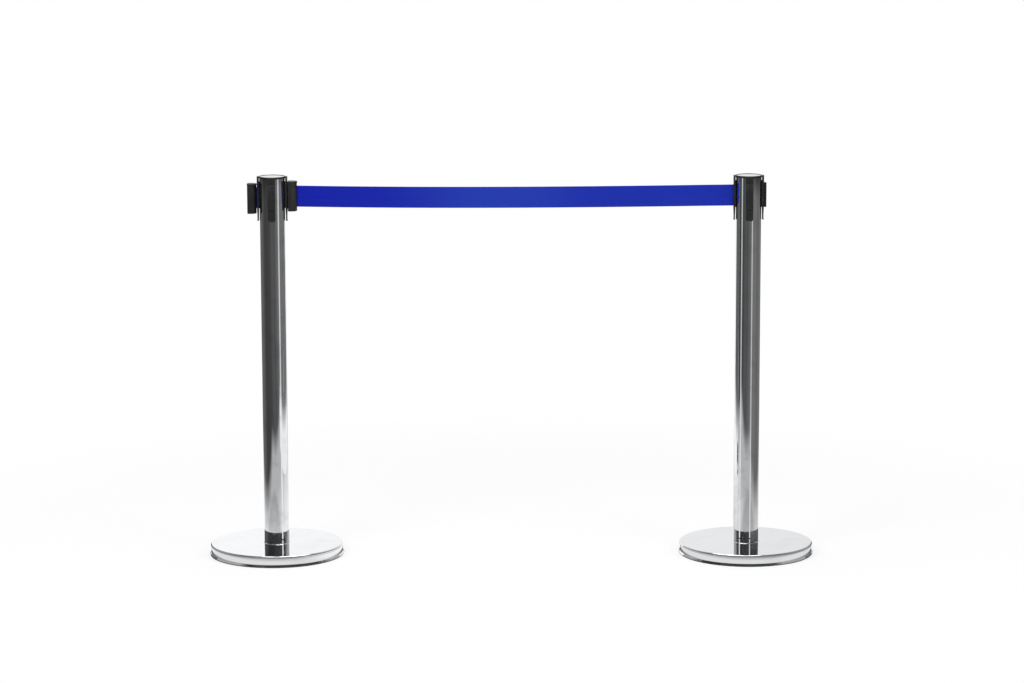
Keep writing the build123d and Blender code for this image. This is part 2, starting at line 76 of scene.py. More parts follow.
def addNode(tree, kind, inputs=None, **settings):  # one node, its settings, its values and links
    node = tree.nodes.new("ShaderNode" + kind)
    for name, value in settings.items():
        setattr(node, name, value)
    for socket, value in (inputs or {}).items():
        if isinstance(value, bpy.types.NodeSocket):
            tree.links.new(value, node.inputs[socket])
        else:
            node.inputs[socket].default_value = value
    return node.outputs


def emptyMaterial(name):
    material = bpy.data.materials.new(name)
    material.use_nodes = True
    material.node_tree.nodes.clear()
    return material, material.node_tree


def calc(tree, operation, *values):
    return addNode(tree, "Math", dict(enumerate(values)), operation=operation)["Value"]


def product(tree, *values):
    result = values[0]
    for value in values[1:]:
        result = calc(tree, "MULTIPLY", result, value)
    return result


def shadeOver(tree, value, start, end, low=0.0, high=1.0):  # a value that changes evenly from start to end
    if start > end:
        start, end, low, high = end, start, high, low
    return addNode(tree, "MapRange", {
        "Value": value, "From Min": start, "From Max": end, "To Min": low, "To Max": high})["Result"]


def mixColour(tree, share, first, second):
    return addNode(tree, "Mix", {0: share, 6: first, 7: second}, data_type="RGBA")[2]


def noise(tree, place, size, detail):  # size in mm
    return addNode(tree, "TexNoise", {"Vector": place, "Scale": 1 / (size * mm), "Detail": detail})["Fac"]


def surfaced(tree, relief, depth, strength, inputs):  # one surface with a relief, depth in mm
    normal = addNode(tree, "Bump", {"Height": relief, "Distance": depth * mm, "Strength": strength})["Normal"]
    shader = addNode(tree, "BsdfPrincipled", {**inputs, "Normal": normal})["BSDF"]
    addNode(tree, "OutputMaterial", {"Surface": shader})


tubeSteel = {
    "colour": "#e3e4e6", "dull": "#cfd0d3", "roughness": 0.03, "dullRoughness": 0.10,
    "lineWidth": 7, "lineLength": 900, "lineDetail": 2.0, "lineDepth": 0.004,
    "smudge": 38, "smudgeDetail": 5.0, "smudgeRange": (0.52, 0.75),
    "scuff": 5, "scuffDetail": 6.0, "scuffRange": (0.55, 0.7),
    "scuffTop": 170, "scuffLow": 30, "scuffRoughness": 0.16,
}


# drawn and mirror polished: clean reflections that waver along the tube, hand marks, scuffs low down
def polishedTube():
    s = tubeSteel
    material, tree = emptyMaterial("polished stainless tube")
    place = addNode(tree, "TexCoord")["Object"]
    stretch = [1 / (s[size] * mm) for size in ("lineWidth", "lineWidth", "lineLength")]
    along = addNode(tree, "Mapping", {"Vector": place, "Scale": stretch})["Vector"]
    lines = addNode(tree, "TexNoise", {"Vector": along, "Scale": 1.0, "Detail": s["lineDetail"]})["Fac"]
    marks = shadeOver(tree, noise(tree, place, s["smudge"], s["smudgeDetail"]), *s["smudgeRange"])
    spots = shadeOver(tree, noise(tree, place, s["scuff"], s["scuffDetail"]), *s["scuffRange"])
    height = addNode(tree, "SeparateXYZ", {"Vector": place})["Z"]
    low = shadeOver(tree, height, s["scuffTop"] * mm, s["scuffLow"] * mm)
    base = shadeOver(tree, marks, 0.0, 1.0, s["roughness"], s["dullRoughness"])
    rough = calc(tree, "MULTIPLY_ADD", product(tree, low, spots), s["scuffRoughness"], base)
    colour = mixColour(tree, marks, linear(s["colour"]), linear(s["dull"]))
    surfaced(tree, lines, s["lineDepth"], 1.0, {"Base Color": colour, "Metallic": 1.0, "Roughness": rough})
    return material


spunSteel = {
    "colour": "#e6e7e9", "dull": "#dedfe2", "roughness": 0.04, "dullRoughness": 0.09,
    "turn": 2.4, "turnDetail": 3.0, "turnDepth": 0.0012,
    "smudge": 60, "smudgeDetail": 5.0, "smudgeRange": (0.5, 0.75),
}


def spunStainless(side):  # spun over a former and buffed while it turns: faint rings round the post's axis
    s = spunSteel
    material, tree = emptyMaterial("spun stainless " + side)
    place = addNode(tree, "TexCoord")["Object"]
    centred = addNode(tree, "Mapping", {"Vector": place, "Location": (-axisX[side], 0, 0)})["Vector"]
    flat = addNode(tree, "VectorMath", {0: centred, 1: (1, 1, 0)}, operation="MULTIPLY")["Vector"]
    radius = addNode(tree, "VectorMath", {0: flat}, operation="LENGTH")["Value"]
    rings = addNode(tree, "TexNoise", {
        "W": radius, "Scale": 1 / (s["turn"] * mm), "Detail": s["turnDetail"]}, noise_dimensions="1D")["Fac"]
    marks = shadeOver(tree, noise(tree, centred, s["smudge"], s["smudgeDetail"]), *s["smudgeRange"])
    rough = shadeOver(tree, marks, 0.0, 1.0, s["roughness"], s["dullRoughness"])
    colour = mixColour(tree, marks, linear(s["colour"]), linear(s["dull"]))
    surfaced(tree, rings, s["turnDepth"], 1.0, {"Base Color": colour, "Metallic": 1.0, "Roughness": rough})
    return material


blackPlastic = {
    "colour": "#1b1b1c", "pale": "#262627", "roughness": 0.42, "rubbedRoughness": 0.3, "ior": 1.53,
    "grain": 0.6, "grainDetail": 2.0, "grainDepth": 0.02, "relief": 0.6,
    "patch": 22, "patchDetail": 4.0, "rubbedRange": (0.45, 0.7),
}


# black ABS from a spark-eroded mould: a fine grain that breaks up the highlight, rubbed in patches
def mouldedAbs():
    s = blackPlastic
    material, tree = emptyMaterial("moulded black ABS")
    place = addNode(tree, "TexCoord")["Object"]
    grain = noise(tree, place, s["grain"], s["grainDetail"])
    rubbed = shadeOver(tree, noise(tree, place, s["patch"], s["patchDetail"]), *s["rubbedRange"])
    rough = shadeOver(tree, rubbed, 0.0, 1.0, s["roughness"], s["rubbedRoughness"])
    colour = mixColour(tree, rubbed, linear(s["colour"]), linear(s["pale"]))
    surfaced(tree, grain, s["grainDepth"], s["relief"], {
        "Base Color": colour, "Roughness": rough, "IOR": s["ior"]})
    return material


beltCloth = {
    "colour": "#060e9e", "faded": "#2641ab", "valley": "#0f1f98", "valleyShare": 0.45,
    "roughness": 0.7, "gloss": 0.1, "thread": 1.4, "threadDepth": 0.12, "relief": 0.5,
    "streakWidth": 3, "streakLength": 160, "streakDetail": 4.0, "streakShare": 0.3,
    "fadeLength": 500, "fadeStart": 53.43, "fadeDetail": 1.0, "fadeRange": (0.3, 0.72),
    "selvedge": 2.5, "halfWidth": 25,
}


# woven webbing: ribs crossed by the weft, a darker selvedge, dye that has faded in long patches
def wovenPolyester():
    s = beltCloth  # the real threads are about 0.5 mm, drawn coarser here so that they show
    material, tree = emptyMaterial("woven blue polyester")
    along = addNode(tree, "SeparateXYZ", {"Vector": addNode(tree, "TexCoord")["Object"]})["X"]
    across = addNode(tree, "SeparateXYZ", {"Vector": addNode(tree, "UVMap", uv_map="beltMap")["UV"]})["Y"]
    turnPerThread = math.pi / (s["thread"] * mm)
    warp, weft = [calc(tree, "SINE", product(tree, line, turnPerThread)) for line in (across, along)]
    weave = shadeOver(tree, product(tree, warp, weft), -1.0, 1.0)
    yarn = addNode(tree, "CombineXYZ", {
        "X": product(tree, along, 1 / (s["streakLength"] * mm)),
        "Y": product(tree, across, 1 / (s["streakWidth"] * mm))})["Vector"]
    streaks = addNode(tree, "TexNoise", {"Vector": yarn, "Scale": 1.0, "Detail": s["streakDetail"]})["Fac"]
    plain = (s["halfWidth"] - s["selvedge"]) * mm
    edge = shadeOver(tree, calc(tree, "ABSOLUTE", across), plain, s["halfWidth"] * mm)
    dark = calc(tree, "MAXIMUM", edge, weave)
    length = calc(tree, "MULTIPLY_ADD", along, 1 / (s["fadeLength"] * mm), s["fadeStart"])
    patches = addNode(tree, "TexNoise", {
        "W": length, "Scale": 1.0, "Detail": s["fadeDetail"]}, noise_dimensions="1D")["Fac"]
    fading = shadeOver(tree, patches, *s["fadeRange"])
    tone = addNode(tree, "Mix", {0: s["streakShare"], 2: fading, 3: streaks})[0]
    cloth = mixColour(tree, tone, linear(s["colour"]), linear(s["faded"]))
    colour = mixColour(tree, product(tree, dark, s["valleyShare"]), cloth, linear(s["valley"]))
    surfaced(tree, weave, s["threadDepth"], s["relief"], {
        "Base Color": colour, "Roughness": s["roughness"], "Specular IOR Level": s["gloss"]})
    return material


innerGrain = {"detail": 4.0, "spread": 0.15, "relief": 0.6}
innerFinishes = {  # name, colour, second colour, metallic, roughness, grain in mm, its depth in mm
    "floor_rubber": ("moulded floor rubber", "#1d1d1d", "#2b2a29", 0.0, 0.75, 1.2, 0.05),
    "weight_iron": ("painted cast iron", "#2b2c2d", "#3b3a38", 0.0, 0.6, 2.5, 0.2),
    "plain_steel": ("zinc plated steel", "#b9bbbd", "#a5a8aa", 1.0, 0.35, 3.0, 0.01),
    "spring_steel": ("blued spring steel", "#5d6270", "#494d58", 1.0, 0.3, 4.0, 0.01),
    "inner_nylon": ("moulded black nylon", "#242526", "#2f3031", 0.0, 0.5, 0.8, 0.02),
    "bush_brass": ("turned brass", "#c9a24f", "#b48b3d", 1.0, 0.3, 1.0, 0.01),
    "brake_felt": ("pressed wool felt", "#8d8a84", "#77746e", 0.0, 0.95, 0.7, 0.15),
    "belt_webbing": ("wound blue polyester", "#142aa6", "#0f1f98", 0.0, 0.75, 0.7, 0.1),
}


def innerMaterial(slot):  # cast, plated and moulded surfaces: two close colours and a grain of the real size
    g = innerGrain
    name, colour, second, metallic, roughness, size, depth = innerFinishes[slot]
    material, tree = emptyMaterial(name)
    grain = noise(tree, addNode(tree, "TexCoord")["Object"], size, g["detail"])
    mixed = mixColour(tree, grain, linear(colour), linear(second))
    rougher = min(1.0, roughness * (1 + g["spread"]))
    rough = shadeOver(tree, grain, 0.0, 1.0, roughness * (1 - g["spread"]), rougher)
    surfaced(tree, grain, depth, g["relief"], {"Base Color": mixed, "Metallic": metallic, "Roughness": rough})
    return material


finishes = {slot: innerMaterial(slot) for slot in innerFinishes}
finishes["black_abs"] = mouldedAbs()
tubeFinish = polishedTube()
beltFinish = wovenPolyester()
spunFinish = {side: spunStainless(side) for side in sides}
for part in frame["record"]["subparts"]:  # CAD pieces that stay on show
    slot = part["material_slot"]
    finish = finishes.get(slot) or spunFinish[part["node"].split("_")[0]]
    node = frame["nodes"][part["node"]]
    node.data.materials.clear()
    node.data.materials.append(finish)
print("materials:", len(bpy.data.materials))


# shared modelling steps
close = {"weld": 0.004, "meet": 0.001, "onPlane": 0.0001, "near": 0.01}  # in mm
past = 1.0  # how far a tool reaches past the face it meets, in mm


def newPiece(bm, name, material, body, replaced, sharp=35):
    bmesh.ops.remove_doubles(bm, verts=bm.verts[:], dist=close["weld"] * mm)
    bmesh.ops.recalc_face_normals(bm, faces=bm.faces[:])
    mesh = bpy.data.meshes.new(name)
    bm.to_mesh(mesh)
    bm.free()
    mesh.shade_smooth()
    mesh.set_sharp_from_angle(angle=math.radians(sharp))
    mesh.materials.append(material)
    piece = bpy.data.objects.new(name, mesh)
    bpy.context.scene.collection.objects.link(piece)
    if body:
        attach(piece, body)
    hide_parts(*replaced)
    return piece


def allOf(bm):
    return bm.verts[:] + bm.edges[:] + bm.faces[:]


def vertsIn(geom):
    return [g for g in geom if isinstance(g, bmesh.types.BMVert)]


def move(bm, vec):
    bmesh.ops.translate(bm, verts=bm.verts[:], vec=vec)


def rotate(bm, angle, axis):  # about the origin
    bmesh.ops.rotate(bm, verts=bm.verts[:], cent=(0, 0, 0), matrix=Matrix.Rotation(angle, 3, axis))


def sharpEdges(bm, angle=40):
    return [e for e in bm.edges if e.is_manifold and e.calc_face_angle(0.0) > math.radians(angle)]


def roundEdges(bm, edges, radius, segments=3):
    bmesh.ops.bevel(bm, geom=edges, offset=radius * mm, offset_type="OFFSET", affect="EDGES",
                    segments=segments, profile=0.5, material=-1, clamp_overlap=True)


def roundCorners(bm, corners, radius, segments):
    bmesh.ops.bevel(bm, geom=corners, offset=radius * mm, offset_type="OFFSET", affect="VERTICES",
                    segments=segments, profile=0.5, material=-1)


def holdEnds(bm, hold):  # a loop close to each end of a long flat keeps its reflection flat
    for edge in [e for e in bm.edges if e.calc_length() > 5 * hold * mm]:
        for end in edge.verts[:]:
            bmesh.utils.edge_split(edge, end, hold * mm / edge.calc_length())


def spinRound(bm, geom, centreX, steps):  # right round the post
    bmesh.ops.spin(bm, geom=geom, cent=(centreX, 0, 0), axis=(0, 0, 1), angle=2 * math.pi,
                   steps=steps, use_merge=True)
    bmesh.ops.remove_doubles(bm, verts=bm.verts[:], dist=close["meet"] * mm)


# section is (radius, height, corner radius) in mm
def turned(section, centreX, steps, closed=True, hold=0.5, cornerSegments=8):
    bm = bmesh.new()
    verts = [bm.verts.new((centreX + r * mm, 0.0, z * mm)) for r, z, corner in section]
    bm.faces.new(verts)
    for vert, (r, z, corner) in zip(verts, section):
        if corner:
            roundCorners(bm, [vert], corner, cornerSegments)
    bmesh.ops.delete(bm, geom=bm.faces[:], context="FACES_ONLY")
    if not closed:  # a section that starts on the axis has no wall there
        onAxis = [e for e in bm.edges if all(abs(v.co.x - centreX) < close["meet"] * mm for v in e.verts)]
        bmesh.ops.delete(bm, geom=onAxis, context="EDGES")
    holdEnds(bm, hold)
    spinRound(bm, bm.verts[:] + bm.edges[:], centreX, steps)
    return bm


def raised(bm, low, high):  # a flat outline drawn up from low to high, in mm
    move(bm, (0, 0, low * mm))
    made = bmesh.ops.extrude_face_region(bm, geom=bm.faces[:])["geom"]
    bmesh.ops.translate(bm, verts=vertsIn(made), vec=(0, 0, (high - low) * mm))
    bmesh.ops.recalc_face_normals(bm, faces=bm.faces[:])
    return bm


def prism(outline, low, high):
    bm = bmesh.new()
    bm.faces.new([bm.verts.new((x * mm, y * mm, 0)) for x, y in outline])
    return raised(bm, low, high)


def arcPoints(radius, half, steps):  # from -half to half, about the first axis
    angles = [half * k / steps for k in range(-steps, steps + 1)]
    return [(radius * math.cos(a), radius * math.sin(a)) for a in angles]


def slotOutline(width, length, segments=8):  # round-ended slot, length along the second axis
    r, straight = width / 2, length / 2 - width / 2
    turn = [math.pi * k / segments for k in range(segments + 1)]
    top = [(r * math.cos(a), straight + r * math.sin(a)) for a in turn]
    return top + [(-x, -y) for x, y in top]


def teeOutline(start, neck, end, web, flange):  # web from start to neck, flange from neck to end
    half = [(start, web), (neck, web), (neck, flange), (end, flange)]
    return [(x, -y) for x, y in half] + half[::-1]


def joined(bm, tool, operation):  # union or difference of two closed meshes
    made = []
    for mesh in (bm, tool):
        data = bpy.data.meshes.new("work")
        bmesh.ops.recalc_face_normals(mesh, faces=mesh.faces[:])
        mesh.to_mesh(data)
        mesh.free()
        made.append(bpy.data.objects.new("work", data))
        bpy.context.scene.collection.objects.link(made[-1])
    step = made[0].modifiers.new("join", "BOOLEAN")
    step.operation, step.object, step.solver = operation, made[1], "EXACT"
    result = bpy.data.meshes.new_from_object(made[0].evaluated_get(bpy.context.evaluated_depsgraph_get()))
    bm = bmesh.new()
    bm.from_mesh(result)
    for work in made:
        bpy.data.objects.remove(work)
    return bm


def trimmed(bm, point, normal):  # cut off what lies beyond a plane, and close the cut
    cut = bmesh.ops.bisect_plane(bm, geom=allOf(bm), dist=close["onPlane"] * mm, plane_co=Vector(point) * mm,
                                 plane_no=normal, clear_outer=True)
    edges = [g for g in cut["geom_cut"] if isinstance(g, bmesh.types.BMEdge)]
    bmesh.ops.holes_fill(bm, edges=edges, sides=0)


# base
baseForm = {
    "beadStep": 0.6, "bead": 6.2, "beadRound": 4.6, "underRound": 1.4, "waistRound": 0.6, "waist": 2.8,
    "flareTop": 6.6, "flareLow": 2.2, "flareRound": 0.43, "rimRound": 0.12, "footRound": 0.4,
    "sheet": 1.0, "hole": 6.5, "ringGap": 0.3, "ringLand": 0.4, "ringSlope": 1.1, "steps": 256,
}


def baseCover(side):  # locating ring round the tube, bead, waist, flared foot
    low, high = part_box(side + "_base_cover")
    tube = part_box(side + "_tube")
    b = baseForm
    rim, foot, top, ringTop = (high.x - low.x) / 2 / mm, low.z / mm, tube[0].z / mm, high.z / mm
    ringIn = (tube[1].x - tube[0].x) / 2 / mm + b["ringGap"]
    ringOut = ringIn + b["ringLand"]
    bead, beadLow, waist = rim - b["beadStep"], top - b["bead"], rim - b["waist"]
    inner, inside = waist - b["sheet"], top - b["sheet"]
    bm = turned([
        (b["hole"], top, 0), (ringIn, top, 0), (ringIn, ringTop, 0),
        (ringOut, ringTop, 0), (ringOut + b["ringSlope"], top, 0), (bead, top, b["beadRound"]),
        (bead, beadLow, b["underRound"]), (waist, beadLow, b["waistRound"]),
        (waist, b["flareTop"], b["flareRound"]), (rim, b["flareLow"], b["rimRound"]),
        (rim, foot, b["footRound"]), (inner, foot, 0), (inner, inside, 0), (b["hole"], inside, 0),
    ], axisX[side], b["steps"])
    replaced = [side + "_base_cover"]
    newPiece(bm, side + "_base_dish", spunFinish[side], side + "_post", replaced)


# column
tubeForm = {
    "wall": 1.2, "footRound": 0.3, "rimBand": 0.1, "slotWidth": 8.0, "slotHeight": 58.0,
    "slotBand": 34.0, "slotSide": 0.8, "slotSegments": 6, "steps": 256,
}


def column(side):
    low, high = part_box(side + "_tube")
    t = tubeForm
    radius, slotZ = (high.x - low.x) / 2, beltCentre(side)
    bm = bmesh.new()
    ends = [bm.verts.new((axisX[side] + radius, 0, z)) for z in (low.z, high.z)]
    spinRound(bm, ends + [bm.edges.new(ends)], axisX[side], t["steps"])
    for z in (low.z + 2 * t["footRound"] * mm, slotZ - t["slotBand"] * mm, slotZ + t["slotBand"] * mm):
        bmesh.ops.bisect_plane(bm, geom=allOf(bm), dist=close["onPlane"] * mm,
                               plane_co=(0, 0, z), plane_no=(0, 0, 1))
    corners = slotOutline(t["slotWidth"], t["slotHeight"], t["slotSegments"])
    for (y1, z1), (y2, z2) in zip(corners, corners[1:] + corners[:1]):  # score the slot's outline
        near = [f for f in bm.faces if abs(f.calc_center_median().z - slotZ) < t["slotBand"] * mm
                and f.calc_center_median().x < axisX[side] - t["slotSide"] * radius]
        region = list({g for f in near for g in [*f.verts, *f.edges]}) + near
        bmesh.ops.bisect_plane(bm, geom=region, dist=close["onPlane"] * mm,
                               plane_co=(0, y1 * mm, slotZ + z1 * mm), plane_no=(0, z2 - z1, y1 - y2))
    halfWide, halfTall = t["slotWidth"] / 2 * mm, t["slotHeight"] / 2 * mm

    def inSlot(face):
        c = face.calc_center_median()
        beyond = max(0.0, abs(c.z - slotZ) - halfTall + halfWide)
        return c.x < axisX[side] and math.hypot(c.y, beyond) < halfWide

    bmesh.ops.delete(bm, geom=[f for f in bm.faces if inSlot(f)], context="FACES")
    bmesh.ops.recalc_face_normals(bm, faces=bm.faces[:])
    bmesh.ops.solidify(bm, geom=bm.faces[:], thickness=t["wall"] * mm)
    outer = radius - t["rimBand"] * mm
    rims = [e for e in bm.edges if all(abs(v.co.z - low.z) < close["near"] * mm for v in e.verts)
            and all(math.hypot(v.co.x - axisX[side], v.co.y) > outer for v in e.verts)]
    roundEdges(bm, rims, t["footRound"])
    newPiece(bm, side + "_column", tubeFinish, side + "_post", [side + "_tube"])


# head
capForm = {
    "seat": 29.1, "seatRound": 0.15, "rim": 0.45, "hole": 2.5, "screwHead": 4.7,
    "notch": 18.2, "notchInner": 17.2, "notchHeight": 1.7, "notchSteps": 6, "steps": 192,
}


def headCap(side):
    low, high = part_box(side + "_head_cap")
    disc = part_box(side + "_cap_disc")
    c = capForm
    radius, bottom, top, seatZ = (high.x - low.x) / 2 / mm, low.z / mm, high.z / mm, disc[0].z / mm
    sink = seatZ - c["screwHead"] + c["hole"]
    bm = turned([
        (c["hole"], sink, 0), (c["screwHead"], seatZ, 0), (c["seat"], seatZ, 0),
        (c["seat"], top, c["seatRound"]), (radius, top, c["rim"]), (radius, bottom, c["rim"]),
        (c["hole"], bottom, 0)], 0, c["steps"])
    half, reach = c["notch"] / 2, radius + past
    arc = arcPoints(c["notchInner"], math.asin(half / c["notchInner"]), c["notchSteps"])
    for quarter in range(4):  # notches for the strips' feet
        foot = prism([*arc, (reach, half), (reach, -half)], bottom - past, bottom + c["notchHeight"])
        rotate(foot, math.pi / 2 * quarter, "Z")
        bm = joined(bm, foot, "DIFFERENCE")
    move(bm, (axisX[side], 0, 0))
    newPiece(bm, side + "_cap", finishes["black_abs"], side + "_post", [side + "_head_cap"])


discForm = {"edge": 0.3, "steps": 192}


def capDisc(side):
    low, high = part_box(side + "_cap_disc")
    radius, bottom, top = (high.x - low.x) / 2 / mm, low.z / mm, high.z / mm
    bm = turned([(0, top, 0), (radius, top, discForm["edge"]), (radius, bottom, 0), (0, bottom, 0)],
                axisX[side], discForm["steps"], closed=False)
    newPiece(bm, side + "_disc", spunFinish[side], side + "_post", [side + "_cap_disc"])


stripForm = {
    "thick": 3.4, "width": 18.0, "neck": 2.0, "neckHeight": 11.0, "beadSteps": 16, "corner": 5.0,
    "cornerSteps": 6, "foot": 1.6, "footInner": 17.5, "ledge": 31.7, "edge": 0.35, "arc": 40, "arcSteps": 28,
    "slotWidth": 4.0, "slotHeight": 58.0, "webWidth": 8.0, "railWidth": 16.4, "railThick": 2.6,
    "railLead": 1.2, "railDown": 28.0, "railUp": 29.9, "padWidth": 10.0, "padInner": 30.1,
    "padUp": 35.0, "padSteps": 2,
}


def stripBody(outer, top, tip, taper, under):  # on the +X side of a post at the origin
    s = stripForm
    inner, middle, bead = outer - s["thick"], outer - s["thick"] / 2, s["thick"] / 2
    neck, neckZ, beadZ = s["neck"] / 2, tip + s["neckHeight"], tip + bead
    rise, footTop = math.sqrt(bead**2 - neck**2), under + s["foot"]
    bm = bmesh.new()
    front = [
        (inner, under), (s["footInner"], under), (s["footInner"], footTop), (s["ledge"], footTop),
        (s["ledge"], top), (outer, top), (outer, taper),
        (middle + neck, neckZ), (middle + neck, beadZ + rise)]
    chain = [bm.verts.new((r * mm, 0, z * mm)) for r, z in front]
    for pair in zip(chain, chain[1:]):
        bm.edges.new(pair)
    wrap = 2 * math.pi - 2 * math.asin(neck / bead)
    spun = bmesh.ops.spin(bm, geom=[chain[-1]], cent=(middle * mm, 0, beadZ * mm), axis=(0, 1, 0),
                          angle=wrap, steps=s["beadSteps"])
    back = vertsIn(spun["geom_last"])
    back += [bm.verts.new((r * mm, 0, z * mm)) for r, z in ((middle - neck, neckZ), (inner, taper))]
    for pair in zip(back, back[1:] + chain[:1]):
        bm.edges.new(pair)
    bmesh.ops.contextual_create(bm, geom=bm.edges[:])
    half = math.radians(s["arc"]) / 2
    rotate(bm, -half, "Z")
    bmesh.ops.spin(bm, geom=allOf(bm), cent=(0, 0, 0), axis=(0, 0, 1), angle=2 * half, steps=s["arcSteps"])
    turn = [math.pi / 2 * k / s["cornerSteps"] for k in range(s["cornerSteps"] + 1)]
    corner = s["corner"]
    for side in (-1, 1):  # flat sides and rounded lower corners
        trimmed(bm, (0, side * s["width"] / 2, 0), (0, side, 0))
        y, z = side * (s["width"] / 2 - corner), tip + corner
        arc = [(y + side * corner * math.cos(a), z - corner * math.sin(a)) for a in turn]
        for (y1, z1), (y2, z2) in zip(arc, arc[1:]):
            trimmed(bm, (0, y1, z1), (0, side * (z1 - z2), -abs(y1 - y2)))
    bmesh.ops.recalc_face_normals(bm, faces=bm.faces[:])
    return bm


def placedStrip(bm, side, turn, name, replaced):
    roundEdges(bm, sharpEdges(bm), stripForm["edge"])
    rotate(bm, math.radians(turn), "Z")
    move(bm, (axisX[side], 0, 0))
    newPiece(bm, name, finishes["black_abs"], side + "_post", [replaced])


def strips(side):
    s = stripForm
    low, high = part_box(side + "_exit_strip")
    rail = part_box(side + "_receiver_side")
    outer, top, tip = (axisX[side] - low.x) / mm, high.z / mm, low.z / mm
    reach, beltZ = (rail[1].x - axisX[side]) / mm, beltCentre(side) / mm
    railLow, railTop, padTop = beltZ - s["railDown"], beltZ + s["railUp"], beltZ + s["padUp"]
    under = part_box(side + "_head_cap")[0].z / mm
    half, padOut = s["padWidth"] / 2, outer - s["thick"] + past
    arc = arcPoints(s["padInner"], math.asin(half / s["padInner"]), s["padSteps"])
    pad = prism([(padOut, half), *arc[::-1], (padOut, -half)], railLow, padTop)
    body = joined(stripBody(outer, top, tip, railLow, under), pad, "UNION")

    slot = prism(slotOutline(s["slotWidth"], s["slotHeight"]), 0, outer + 2 * past)
    lying = Matrix(((0, 0, 1), (1, 0, 0), (0, 1, 0)))
    bmesh.ops.rotate(slot, verts=slot.verts[:], cent=(0, 0, 0), matrix=lying)
    move(slot, (0, 0, beltZ * mm))
    outlet = joined(body.copy(), slot, "DIFFERENCE")
    placedStrip(outlet, side, 180, side + "_belt_outlet", side + "_exit_strip")

    web, flange = s["webWidth"] / 2, s["railWidth"] / 2
    tee = prism(teeOutline(outer - past, reach - s["railThick"], reach, web, flange), railLow, railTop)
    face = [e for e in tee.edges if all(abs(v.co.x - reach * mm) < close["near"] * mm for v in e.verts)]
    roundEdges(tee, face, s["railLead"])
    receiver = joined(body, tee, "UNION")
    for where, turn in (("side", 0), ("front", -90), ("back", 90)):
        placedStrip(receiver.copy(), side, turn, side + "_rail_" + where, side + "_receiver_" + where)
    receiver.free()


# belt ends
gripForm = {
    "nose": 12.5, "backRound": 2.5, "lowRound": 2.2, "collar": 4.0, "collarProud": 0.8, "collarRound": 0.8,
    "edge": 0.3, "edgeAngle": 50, "lip": 1.5, "grooveHalf": 8.55, "webHalf": 4.3, "grooveDepth": 3.2,
    "grooveTop": 30.2, "bore": 3.4, "boreTop": 27.3, "slot": 1.8, "slotHeight": 54.0, "steps": 28,
}


def gripSection(proud, back, face):  # flat back with rounded corners, half-round nose towards the belt
    g = gripForm
    half, middle = g["nose"] + proud, face - g["nose"]
    bm = bmesh.new()
    start = bm.verts.new((middle * mm, -half * mm, 0))
    spun = bmesh.ops.spin(bm, geom=[start], cent=(middle * mm, 0, 0), axis=(0, 0, 1),
                          angle=math.pi, steps=g["steps"])
    end = vertsIn(spun["geom_last"])[0]
    corners = [bm.verts.new((back * mm, y * mm, 0)) for y in (half, -half)]
    for pair in zip([end, *corners], [*corners, start]):
        bm.edges.new(pair)
    bmesh.ops.contextual_create(bm, geom=bm.edges[:])
    roundCorners(bm, corners, g["backRound"], segments=6)
    return bm


def gripBody(back, face, bottom, top):  # about its belt pin
    g = gripForm
    collarLow = top - g["collar"]
    bm = raised(gripSection(0.0, back, face), bottom, collarLow + 2 * past)
    lowLoop = [e for e in bm.edges if all(v.co.z < (bottom + close["near"]) * mm for v in e.verts)]
    roundEdges(bm, lowLoop, g["lowRound"], segments=6)
    collar = raised(gripSection(g["collarProud"], back - g["collarProud"] / 2, face), collarLow, top)
    topLoop = [e for e in collar.edges if all(v.co.z > (top - close["near"]) * mm for v in e.verts)]
    roundEdges(collar, topLoop, g["collarRound"], segments=4)
    bm = joined(bm, collar, "UNION")
    inner = back + g["lip"]
    groove = teeOutline(back - past, inner, inner + g["grooveDepth"], g["webHalf"], g["grooveHalf"])
    bm = joined(bm, prism(groove, bottom - past, g["grooveTop"]), "DIFFERENCE")
    bore = bmesh.new()
    bmesh.ops.create_cone(bore, cap_ends=True, segments=32, radius1=g["bore"] * mm, radius2=g["bore"] * mm,
                          depth=(g["boreTop"] - bottom + past) * mm)
    move(bore, (0, 0, (g["boreTop"] + bottom - past) / 2 * mm))
    bm = joined(bm, bore, "DIFFERENCE")
    wide, tall, reach = g["slot"] / 2, g["slotHeight"] / 2, face + 2 * past
    outline = [(0, -wide), (reach, -wide), (reach, wide), (0, wide)]
    bm = joined(bm, prism(outline, -tall, tall), "DIFFERENCE")
    roundEdges(bm, sharpEdges(bm, g["edgeAngle"]), g["edge"], segments=2)
    return bm


def beltEnds():
    low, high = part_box("right_grip")
    pin = middleOf("right_grip_pin")
    proud = gripForm["collarProud"]
    back, face = (low.x - pin.x) / mm + proud / 2, (high.x - pin.x) / mm - proud
    bottom, top = (low.z - pin.z) / mm, (high.z - pin.z) / mm
    made = gripBody(*[round(size, 1) for size in (back, face, bottom, top)])
    for side in sides:
        bm = made.copy()
        move(bm, middleOf(side + "_grip_pin"))
        name, replaced = side + "_belt_end_grip", [side + "_grip"]
        newPiece(bm, name, finishes["black_abs"], side + "_belt_end", replaced)
    made.free()


for side in sides:
    baseCover(side)
    column(side)
    headCap(side)
    capDisc(side)
    strips(side)
    print(side, "post modelled")
beltEnds()
print("belt ends modelled")


# belt
beltForm = {
    "thickness": 0.7, "sag": 4.0, "tail": 110.0, "lift": 10.0, "step": 5.0, "across": 20, "pinGap": 2.4,
    "guidePin": 26.2, "wave": 3.5, "backMost": 0.1, "frontMost": 0.79, "stubSteps": 120,
}


